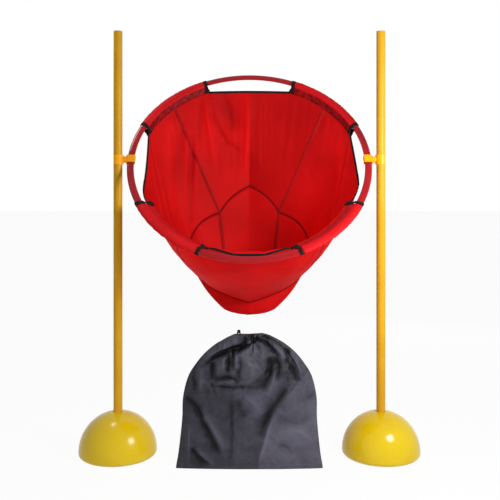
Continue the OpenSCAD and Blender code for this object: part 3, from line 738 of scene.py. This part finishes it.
settled = bmesh.new()
settled.from_mesh(net_form.data)
row_of = settled.verts.layers.int["row"]
column_of = settled.verts.layers.int["column"]
settled.normal_update()
tone_and_painted_shade_of = settled.verts.layers.float.new("fold")
folds = creases(NET_FOLDS, lambda turn, w: net_point(math.radians(turn), w))
inside_net = Vector((0, 0.02, HOOP_HEIGHT - 0.02))
for v in settled.verts:
    tone = painted_light_round(v[column_of] % COLUMNS * 360 / COLUMNS)
    # The pouch keeps less of the painted shade and a little more of the painted light.
    if v[row_of] > PANEL_END:
        tone *= POUCH_DARK if tone < 0 else POUCH_LIGHT
    v[tone_and_painted_shade_of] = tone
    if 0 < v[row_of] < PANEL_END:
        share = min(1, v[row_of] / CALM_ROWS[0], (PANEL_END - v[row_of]) / CALM_ROWS[1])
        inward = v.normal * math.copysign(1, v.normal.dot(inside_net - v.co))
        ripple = sum(high * noise.noise(v.co * close) for high, close in RIPPLES)
        stand = creased(v.co, folds, crisp=0.4)
        # Painted shade in the folds' valleys and painted light on their crests, on top of the
        # painted light round the hoop.
        tone = v[tone_and_painted_shade_of] + stand / (FOLD_DARK if stand < 0 else FOLD_LIGHT)
        v[tone_and_painted_shade_of] = max(-1, min(1, tone))
        v.co += inward * share * (stand + ripple)
settled.normal_update()
spot = {}
for v in settled.verts:
    spot[v[row_of], v[column_of] % COLUMNS] = (v.co.copy(), v.normal.copy())
bpy.data.objects.remove(net_form)


def cut_cloth(node, index):
    """One sewn piece of the net, cut from the settled cloth, and how much cloth it takes."""
    bm = settled.copy()
    others = [face for face in bm.faces if face.material_index != index]
    bmesh.ops.delete(bm, geom=others, context="FACES")
    for face in bm.faces:
        face.material_index = 0
        face.smooth = True
    area = sum(face.calc_area() for face in bm.faces)
    piece = finished(
        bm, f"{node}_cloth", red_cloth, "hoop", CLOTH_THICK, outwards=False
    )
    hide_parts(node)
    return piece, area


# A piece's cloth is cut from a rectangle as wide as it hangs and as long as it falls; a
# piece that folds back on itself takes a wider one.
CUT_SPARE = 1.05
LEAST_SHARE = 0.31
for index, node in enumerate(
    [f"{q}_panel" for q in QUARTERS] + [f"pouch_{q}" for q in QUARTERS] + ["pouch_floor"]
):
    piece, area = cut_cloth(node, index)
    places = [v.co for v in piece.data.vertices]
    size = [max(p[k] for p in places) - min(p[k] for p in places) for k in range(3)]
    wide, long = size[0], math.hypot(size[1], size[2])
    if wide * long < area:
        wide = area / long * CUT_SPARE
    {"flat": (wide, long), "area": max(area, LEAST_SHARE * wide * long)}

# ------------------------------------------------------------------ net seams
# The four panels are joined down the corners, to the pouch round the bowed seam, and to
# the floor round its edge. Each seam is a rolled, stitched ridge in the darker thread.
SEAM_SIDES = 8


def skin(bm, place, around, along, loop=False, closed=True):
    """A skin round a line: a grid that is closed round it, and end to end if it loops.
    Each place has its point, its spot in the weave and, if it has one, its tone, which paints the
    colour darker or lighter."""
    layout = bm.loops.layers.uv.verify()
    tone_and_painted_shade_of = bm.verts.layers.float.get("fold") or bm.verts.layers.float.new("fold")
    grown = bmesh.ops.create_grid(bm, x_segments=around, y_segments=along, size=1)["verts"]
    index = {
        v: (round((v.co.x + 1) / 2 * around), round((v.co.y + 1) / 2 * along)) for v in grown
    }
    for face in {f for v in grown for f in v.link_faces}:
        face.smooth = True
        for corner in face.loops:
            corner[layout].uv = place(*index[corner.vert])[1]
    for v, (i, j) in index.items():
        v.co, _, *fold = place(i % around if closed else i, j % along if loop else j)
        v[tone_and_painted_shade_of] = fold[0] if fold else 0
    bmesh.ops.remove_doubles(bm, verts=grown, dist=1e-6)


def seam_ridge(bm, line, wide, high, loop=False, tone=lambda j: 0):
    """A rolled seam along places on the cloth, half sunk into it."""
    last = len(line) - 1

    def place(i, j):
        at, up = line[j % len(line)]
        if loop:
            ahead = line[(j + 1) % len(line)][0] - line[j - 1][0]
        else:
            ahead = line[min(j + 1, last)][0] - line[max(j - 1, 0)][0]
        across = ahead.cross(up).normalized()
        turn = math.tau * i / SEAM_SIDES
        point = at + across * math.cos(turn) * wide / 2 + up * math.sin(turn) * high / 2
        return point, (j * 0.0055, i * 0.001), tone(j)

    skin(bm, place, SEAM_SIDES, len(line) if loop else last, loop)
    ends = [e for e in bm.edges if e.is_boundary]
    if ends:
        bmesh.ops.holes_fill(bm, edges=ends)


def ring_seam_shade(column):
    """The seam above the pouch turns under in front, and is painted darkest there as painted shade.
    """
    return -0.36 - 0.64 * max(0, -math.cos(math.radians(column * 360 / COLUMNS))) ** 0.5


seam_red = woven(
    "seam_red", linear(140, 7, 9), linear(118, 5, 7), threads=700, depth=0.0003,
    roughness=0.7, sheen=0.0, painted_shade=0.1,
)
bm = bmesh.new()
corner_step = COLUMNS // 4
for corner in range(4):
    column = corner_step // 2 + corner_step * corner
    depth = PANEL_END if corner in (1, 2) else POUCH_END
    down_corner = [spot[row, column] for row in range(depth + 1)]
    seam_ridge(bm, down_corner, wide=0.010, high=0.0026, tone=lambda j: 0.6 - 0.004 * j)
round_pouch = [spot[PANEL_END, c] for c in range(COLUMNS)]
seam_ridge(bm, round_pouch, wide=0.005, high=0.003, loop=True, tone=ring_seam_shade)
round_floor = [spot[POUCH_END, c] for c in range(0, COLUMNS, 3)]
seam_ridge(bm, round_floor, wide=0.003, high=0.0024, loop=True)
net_seams = finished(bm, "net_seams", seam_red, "hoop")

# ------------------------------------------------------------------ edge tapes
# Between the sleeves each panel's free edge is bound in black tape, folded over it and
# stitched down.
TAPE_STAND = 0.00085
TAPE_TURN = 0.0004
TAPE_THICK = 0.0006
black_tape = woven(
    "black_tape", linear(20, 19, 21), linear(12, 11, 13), threads=900, depth=0.0003,
    roughness=0.7, sheen=0.0,
)
for quarter, (start, end) in enumerate(GAP_ENDS):
    first, last = (round(turn * COLUMNS / 360) for turn in (start, end))

    def place(i, j):
        row, face = (TAPE_ROWS - i, 1) if i <= TAPE_ROWS else (i - TAPE_ROWS - 1, -1)
        at, up = spot[row, (first + j) % COLUMNS]
        out = (at - spot[row + 1, (first + j) % COLUMNS][0]).normalized()
        step = TAPE_TURN if row == 0 else 0
        return at + up * face * TAPE_STAND + out * step, (j * 0.006, row * 0.002 * face)

    bm = bmesh.new()
    skin(bm, place, 2 * TAPE_ROWS + 1, last - first, closed=False)
    edge = QUARTERS[quarter]
    tape = finished(bm, f"{edge}_edge_binding", black_tape, "hoop", TAPE_THICK)
    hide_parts(f"{edge}_edge_tape")

# ------------------------------------------------------------------ sleeves
# Each sleeve is a strip of the same red cloth wrapped round the hoop's tube and stitched
# to itself in a hem; a black tape, tacked at the hem, binds both of its ends.
SLEEVES = {
    "upper_right": (25, 66), "lower_right": (119, 156),
    "lower_left": (204, 241), "upper_left": (294, 335),
}
SLEEVE_SLACK = 0.0014
SLEEVE_HALF = (HOOP_WIDTH / 2 + SLEEVE_SLACK, HOOP_THICK / 2 + SLEEVE_SLACK)
HEM_OVERLAP = 0.004
HEM_GAP = 0.0009
HEM_SHARE = 0.25
HEM_WAVE = 0.0022
SLEEVE_AROUND, SLEEVE_ALONG = 44, 98
END_TAPE = 0.012
END_TAPE_SLACK = 0.0008
TAPE_AROUND, TAPE_ALONG = 40, 6


def sleeve_place(turn, t, grow, crumple):
    """A place on a sleeve: t runs from its hem round the tube and back to its hem. The
    hem waves and the rest puckers and creases as much as crumple says."""
    a = math.radians(turn)
    start, out = tube_point(a), hoop_out(a)
    away = net_point(a, (HEM_DEPTH + HEM_OVERLAP) / panel_length(a)) - start
    x, y = away.dot(out), away.dot(hoop_axis)
    along = away - x * out - y * hoop_axis
    half = (SLEEVE_HALF[0] + grow, SLEEVE_HALF[1] + grow)
    far = math.hypot(x / half[0], y / half[1])
    middle, touch = math.atan2(y / half[1], x / half[0]), math.acos(1 / far)
    apart = Vector((-y, x)).normalized() * (HEM_GAP + grow)
    face = 1 if t < 0.5 else -1
    reach = min(t, 1 - t)
    if reach < HEM_SHARE:
        edge = middle + face * touch
        p = (Vector((x, y)) + face * apart).lerp(
            Vector((half[0] * math.cos(edge), half[1] * math.sin(edge))), reach / HEM_SHARE
        )
    else:
        round_tube = (t - HEM_SHARE) / (1 - 2 * HEM_SHARE)
        turned = middle + touch + round_tube * (math.tau - 2 * touch)
        p = Vector((half[0] * math.cos(turned), half[1] * math.sin(turned)))
    flat = max(0, 1 - reach / 0.3)
    wave = noise.noise(Vector((turn * 0.35, flat * 1.5, 3 + crumple)))
    pucker = noise.noise(Vector((turn * 0.9, t * 7, 9 + crumple)))
    p += apart.normalized() * crumple * HEM_WAVE * wave * flat * min(1, reach / 0.08)
    crease = 0.5 - abs(noise.noise(Vector((turn * 1.3 + t * 3, t * 4, 21))))
    p *= 1 + crumple * (1 - flat) * (0.02 + 0.09 * pucker + 0.11 * crease)
    lean = (p.x * x + p.y * y) / (x * x + y * y)
    return start + p.x * out + p.y * hoop_axis + lean * along


def section_length(turn, grow):
    """How far it is round a sleeve, from its hem to its hem."""
    line = [sleeve_place(turn, k / 40, grow, 0) for k in range(41)]
    return sum((b - a).length for a, b in zip(line, line[1:]))


# Near its hem the cloth lies double; there it is painted darker, with blotches of painted shade for
# its small wrinkles, and the lower sleeves get less of it.
sleeve_red = woven(
    "sleeve_red", linear(204, 18, 26), linear(188, 10, 16), threads=1100, depth=0.0002,
    roughness=0.55, sheen=0.0,
)
nodes = sleeve_red.node_tree.nodes
weave = nodes["Texture Coordinate"].outputs
parts = added(nodes, "SeparateXYZ", weave["UV"])
hem = added(nodes, "MapRange", Value=parts.outputs["Y"], From_Min=0.0215, From_Max=0.0175)
wrinkle_shade_noise = added(nodes, "TexNoise", Vector=weave["Object"], Scale=95.0, Detail=5.0)
wrinkle_shade = added(
    nodes, "MapRange", Value=wrinkle_shade_noise.outputs["Fac"], From_Min=0.35, From_Max=0.62, To_Min=0.45
)
darker = added(nodes, "Math", hem.outputs["Result"], wrinkle_shade.outputs["Result"], work="MULTIPLY")
hem_shade_weight = nodes.new("ShaderNodeAttribute")
hem_shade_weight.attribute_name = "fold"
hem_shade_mix = added(nodes, "Math", darker.outputs["Value"], hem_shade_weight.outputs["Fac"], work="MULTIPLY")
# The painted shade's dark red, mixed in near the hem.
hem_shaded = added(
    nodes, "Mix", work="RGBA", Factor=hem_shade_mix.outputs["Value"],
    A=nodes["Mix"].outputs["Result"], B=linear(92, 6, 10),
)
tuned(nodes["Principled BSDF"], Base_Color=hem_shaded.outputs["Result"])
for name, (start, end) in SLEEVES.items():
    wide = section_length((start + end) / 2, 0)
    long = math.radians(end - start) * (hoop_mid - 0.01)
    # The upper sleeves get the hem's full painted shade, the lower ones about a third of it.
    hem_shade_share = 1 if name.startswith("upper") else 0.35

    def place(i, j):
        turn = start + (end - start) * j / SLEEVE_ALONG
        crumple = min(1, j / 5, (SLEEVE_ALONG - j) / 5)
        across = min(i, SLEEVE_AROUND - i) / SLEEVE_AROUND * wide
        point = sleeve_place(turn, i / SLEEVE_AROUND, 0, crumple)
        return point, (j / SLEEVE_ALONG * long, across), hem_shade_share

    bm = bmesh.new()
    skin(bm, place, SLEEVE_AROUND, SLEEVE_ALONG, closed=False)
    sleeve = finished(bm, f"sleeve_{name}_wrap", sleeve_red, "hoop", CLOTH_THICK)
    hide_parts(f"sleeve_{name}")

bm = bmesh.new()
tape_turns = [turn for start, end in SLEEVES.values() for turn in (start - 1, end + 1)]
half_wide = math.degrees(END_TAPE / 2 / hoop_mid)
for turn in tape_turns:

    def place(i, j):
        reach = min(i, TAPE_AROUND - i) / TAPE_AROUND
        tack = math.exp(-(reach / 0.11) ** 2)
        off = (j / TAPE_ALONG * 2 - 1) * (0.8 + 0.8 * tack)
        lump = noise.noise(Vector((turn * 3 + off, reach * 14, 0)))
        at = turn + off * half_wide + lump * 0.8
        puff = END_TAPE_SLACK + (0.003 + 0.003 * lump) * tack
        return sleeve_place(at, i / TAPE_AROUND, puff, 0), (i * 0.002, j * 0.003)

    skin(bm, place, TAPE_AROUND, TAPE_ALONG, closed=False)
tapes = finished(bm, "sleeve_end_bindings", black_tape, "hoop", 0.0007)
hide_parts("sleeve_end_tapes")
8 * section_length(45, END_TAPE_SLACK)

# ------------------------------------------------------------------ storage bag
# A charcoal polyester bag that stands by itself, slack and creased, with its mouth
# gathered by the cord. It has a channel along its shoulders and a hem at its foot.

# Shares of the bag's height, of its half width and of its half depth, from the foot up.
BAG_LEVELS = [
    (0, 1, 0.3), (0.04, 0.99, 0.6), (0.1, 0.97, 0.85), (0.22, 0.943, 1), (0.38, 0.916, 1),
    (0.53, 0.908, 1), (0.68, 0.842, 0.95), (0.78, 0.733, 0.85), (0.86, 0.61, 0.72),
    (0.93, 0.45, 0.56), (0.985, 0.26, 0.4), (1, 0.16, 0.25),
]

# The folds in the bag's front: how far each stands out, its half width, and where it
# runs, across and up in millimetres.
BAG_FOLDS = [
    (-0.013, 0.004, [(-6, 368), (-1, 362), (10, 358), (23, 353), (31, 345)]),
    (-0.010, 0.003, [(6, 368), (8, 355), (11, 342)]),
    (0.008, 0.004, [(0, 366), (0, 355), (-3, 340)]),
    (-0.008, 0.003, [(28, 362), (42, 357), (60, 350)]),
    (-0.006, 0.0025, [(-48, 226), (-48, 150), (-47, 90), (-49, 24)]),
    (-0.014, 0.0045, [
        (-118, 283), (-98, 302), (-74, 316), (-48, 325), (-16, 333), (11, 347), (14, 362),
    ]),
    (0.007, 0.006, [(-125, 293), (-103, 312), (-77, 326), (-47, 336), (-21, 347)]),
    (-0.009, 0.004, [(-45, 344), (-48, 323), (-46, 298), (-48, 271)]),
    (0.007, 0.004, [(-38, 323), (-36, 298), (-39, 277)]),
    (-0.011, 0.0045, [(-59, 311), (-58, 287), (-62, 264)]),
    (0.007, 0.004, [(-69, 307), (-71, 287), (-69, 265)]),
    (-0.01, 0.005, [(-99, 293), (-103, 269), (-100, 244)]),
    (0.005, 0.006, [(-86, 296), (-86, 274), (-83, 253)]),
    (-0.011, 0.0045, [(-96, 240), (-70, 250), (-47, 249), (-29, 238)]),
    (0.006, 0.006, [(-101, 232), (-70, 240), (-43, 237)]),
    (-0.007, 0.003, [(-107, 228), (-79, 228), (-48, 226), (-10, 227), (31, 223)]),
    (-0.012, 0.0045, [(26, 351), (44, 342), (61, 326), (79, 304)]),
    (0.006, 0.007, [(37, 355), (60, 342), (82, 320), (100, 298)]),
    (-0.009, 0.0045, [(36, 363), (64, 350), (96, 323), (119, 293), (129, 277)]),
    (-0.008, 0.007, [(96, 303), (110, 278), (122, 252), (123, 237)]),
    (0.009, 0.004, [(107, 315), (127, 287), (137, 262), (139, 242)]),
    (-0.014, 0.011, [(50, 307), (56, 280), (51, 256), (32, 217)]),
    (-0.008, 0.006, [(73, 307), (78, 282), (77, 260), (68, 240)]),
    (0.008, 0.009, [(65, 289), (65, 260), (57, 233), (43, 204)]),
    (0.007, 0.0028, [(116, 232), (96, 198), (73, 166), (55, 130), (44, 90), (31, 45), (20, 14)]),
    (-0.006, 0.009, [(100, 224), (77, 193), (55, 162), (40, 130), (28, 90)]),
    (0.006, 0.018, [(-16, 204), (11, 184), (37, 151)]),
    (-0.005, 0.01, [(-32, 198), (-25, 171), (-12, 144)]),
    (-0.01, 0.007, [(-146, 168), (-121, 124), (-98, 81), (-81, 43)]),
    (0.008, 0.007, [(-134, 171), (-109, 130), (-86, 90), (-69, 52)]),
    (-0.009, 0.006, [(-175, 195), (-150, 177), (-123, 144)]),
    (-0.009, 0.006, [(-160, 58), (-136, 34), (-107, 13)]),
    (0.007, 0.005, [(-146, 62), (-124, 38), (-96, 19)]),
    (-0.005, 0.009, [(-141, 289), (-151, 260), (-149, 227), (-146, 202)]),
    (0.005, 0.008, [(-129, 277), (-133, 247), (-130, 211)]),
    (0.006, 0.022, [(-25, 318), (-3, 282), (20, 247)]),
    (-0.009, 0.004, [(-3, 362), (-18, 337), (-37, 311)]),
    (0.007, 0.005, [(20, 344), (-3, 331), (-29, 307)]),
    (-0.008, 0.005, [(-32, 307), (-25, 282), (-31, 260), (-21, 240)]),
    (0.005, 0.0025, [(-163, 126), (-164, 81), (-165, 20)]),
    (-0.004, 0.012, [(73, 144), (127, 126), (167, 144)]),
    (0.004, 0.01, [(73, 99), (127, 108), (163, 81)]),
    (-0.004, 0.008, [(136, 180), (167, 198), (181, 215)]),
    (-0.004, 0.006, [(73, 74), (100, 63), (119, 41)]),
]

FRONT_STEPS, BACK_STEPS, UP_STEPS = 200, 50, 140
SIDE_ROUND = 1.3
LEAST_DEPTH = 0.0008
PATCH_PLACE = (-0.056, 0.254)
PATCH_HALF = (0.012, 0.016)
PATCH_STAND = 0.0008
GATHER_FROM, GATHER_SPAN = 0.84, 0.16
THROAT = (0.012, 0.352)
THROAT_REACH = 0.036
MOUTH_DIPS = ((-0.004, 0.018, 0.004), (0.016, 0.004, 0.005))
CRINKLE = 0.003
FOOT_HEM = 0.016
STITCH_DEPTH = 0.0016
BAG_FOLD_DEPTH = 0.0055
bag_profile = through([Vector(level) for level in BAG_LEVELS], steps=8)
bag_folds = creases(BAG_FOLDS, lambda x, z: Vector((x / 1000, BAG_PLACE_Y, z / 1000)))


def bag_crinkle(plain):
    """Small sharp crinkles all over the cloth, in two sizes."""
    shift = Vector((noise.noise(plain * 20), 0, noise.noise(plain * 20 + Vector((7, 0, 0)))))
    bent = plain + shift * 0.02
    return 0.25 - abs(noise.noise(bent * 26)) + 0.5 * (0.25 - abs(noise.noise(bent * 70)))


def throat_rays(x, z):
    """Folds that run out from the gathered throat like rays."""
    away = Vector((x - THROAT[0], z - THROAT[1]))
    turn = math.atan2(away.x, -away.y)
    rays = math.sin(9 * turn + 1.5 * math.sin(3 * turn + 1))
    return 0.003 * rays * math.exp(-((away.length / THROAT_REACH) ** 2))


def bag_painted_side_light(x, z):
    """Painted light right of the long slanting crease, where that side faces the light,
    and a little painted shade left of the stitched line."""
    past = x - 0.024 - 0.08 * (z / 0.204) ** 2
    painted_side_light = max(0, min(1, (0.3 - z) / 0.06)) * (
        min(1, past / 0.003) * 0.52 if past > 0 else -0.3 * math.exp(past / 0.04)
    )
    return painted_side_light - 0.22 * max(0, min(1, (-0.049 - x) / 0.003))


def bag_place(i, j):
    """A place on the bag: i runs along its front and back round its back, j up it."""
    up = j / UP_STEPS
    k = next(n for n in range(len(bag_profile) - 1) if bag_profile[n + 1].x >= up - 1e-9)
    low, high = bag_profile[k], bag_profile[k + 1]
    level = low.lerp(high, min(1, (up - low.x) / max(1e-9, high.x - low.x)))
    front = i <= FRONT_STEPS
    turn = i / FRONT_STEPS if front else 1 + (i - FRONT_STEPS) / BACK_STEPS
    across = -math.cos(turn * math.pi)
    x = bag_middle(up) + BAG_WIDTH / 2 * level.y * across
    deep = BAG_DEPTH / 2 * level.z * math.sqrt(max(0, 1 - across * across)) ** SIDE_ROUND
    z = up * BAG_HEIGHT
    plain = Vector((x, BAG_PLACE_Y, z))
    stand = noise.noise(plain * 14 + Vector((0, 5 * (not front), 0))) * 0.004
    fold = 0
    if front:
        fold = creased(plain, bag_folds, crisp=1)
        if abs(x - PATCH_PLACE[0]) < PATCH_HALF[0] and abs(z - PATCH_PLACE[1]) < PATCH_HALF[1]:
            stand += PATCH_STAND
    gather = max(0, (up - GATHER_FROM) / GATHER_SPAN)
    fold += throat_rays(x, z)
    fold += bag_crinkle(plain) * (CRINKLE + CRINKLE * max(0, min(1, (z - 0.2) / 0.06)))
    painted_side_light = bag_painted_side_light(x, z)
    stand += fold + gather * 0.002 * math.sin(x * 420 + 2.2 * math.sin(x * 90))
    stand -= STITCH_DEPTH * math.exp(-((z - FOOT_HEM) / STITCH_DEPTH) ** 2)
    room = min(1, deep / 0.012) * min(1, up / 0.02 + 0.3)
    y = BAG_PLACE_Y - (1 if front else -1) * max(LEAST_DEPTH, deep + stand * room)
    if i % (FRONT_STEPS + BACK_STEPS) in (0, FRONT_STEPS):
        y = BAG_PLACE_Y
    z += gather**3 * 0.003 * noise.noise(Vector((x * 60, 0, 8)))
    for dip, half, depth in MOUTH_DIPS:
        z -= gather**2 * depth * math.exp(-((x - dip) / half) ** 2)
    # The bag's painted shade and light: darker in its creases and crinkles, lighter on their
    # ridges, and lighter or darker on the front by the painted side light.
    tone = max(-1, min(1, fold / BAG_FOLD_DEPTH + painted_side_light * front))
    return Vector((x, y, z)), (x + (0 if front else 0.5), z), tone


charcoal = woven(
    "charcoal_polyester", linear(72, 70, 81), linear(50, 49, 56), threads=800, depth=0.00015,
    roughness=0.5, sheen=0.0, patch=5.0, shine=0.14, painted_shade=0.1,
)
bm = bmesh.new()
skin(bm, bag_place, FRONT_STEPS + BACK_STEPS, UP_STEPS)
bmesh.ops.holes_fill(bm, edges=[e for e in bm.edges if e.is_boundary])
bag = finished(bm, "storage_bag_shell", charcoal, "bag", 0.0006)
bag.modifiers["wall"].offset = -1
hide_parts("storage_bag")

# The right-hand lamp is flagged off behind the bag, so that no shadow falls on the dome.
flag = bpy.data.collections.new("flagged_off")
flag.objects.link(bag)
lamp_right.light_linking.blocker_collection = flag
flag.collection_objects[0].light_linking.link_state = "EXCLUDE"


def bag_stitching(points):
    """A sewn line on the bag's front through (x, z) places, in millimetres."""
    line = []
    for place in through([Vector((x / 1000, 0, z / 1000)) for x, z in points], steps=10):
        j = round(place.z / BAG_HEIGHT * UP_STEPS)
        row = [bag_place(i, j)[0] for i in range(FRONT_STEPS + 1)]
        i = min(range(FRONT_STEPS), key=lambda k: abs(row[k].x - place.x))
        line.append((row[i] - Vector((0, 0.0003, 0)), Vector((0, -1, 0))))
    return line


bm = bmesh.new()
middle_line = bag_stitching([(-49, 224), (-50, 150), (-49, 90), (-50, 34)])
side_line = bag_stitching([(-161, 130), (-159, 90), (-157, 50), (-155, 20)])
seam_ridge(bm, middle_line, wide=0.0016, high=0.0012)
seam_ridge(bm, side_line, wide=0.0014, high=0.0012)
thread_grey = woven(
    "thread_grey", linear(58, 57, 62), linear(38, 37, 41), threads=700, depth=0.0002,
    roughness=0.7, sheen=0.0, coordinates="Object",
)
bag_seams = finished(bm, "storage_bag_seams", thread_grey, "bag")
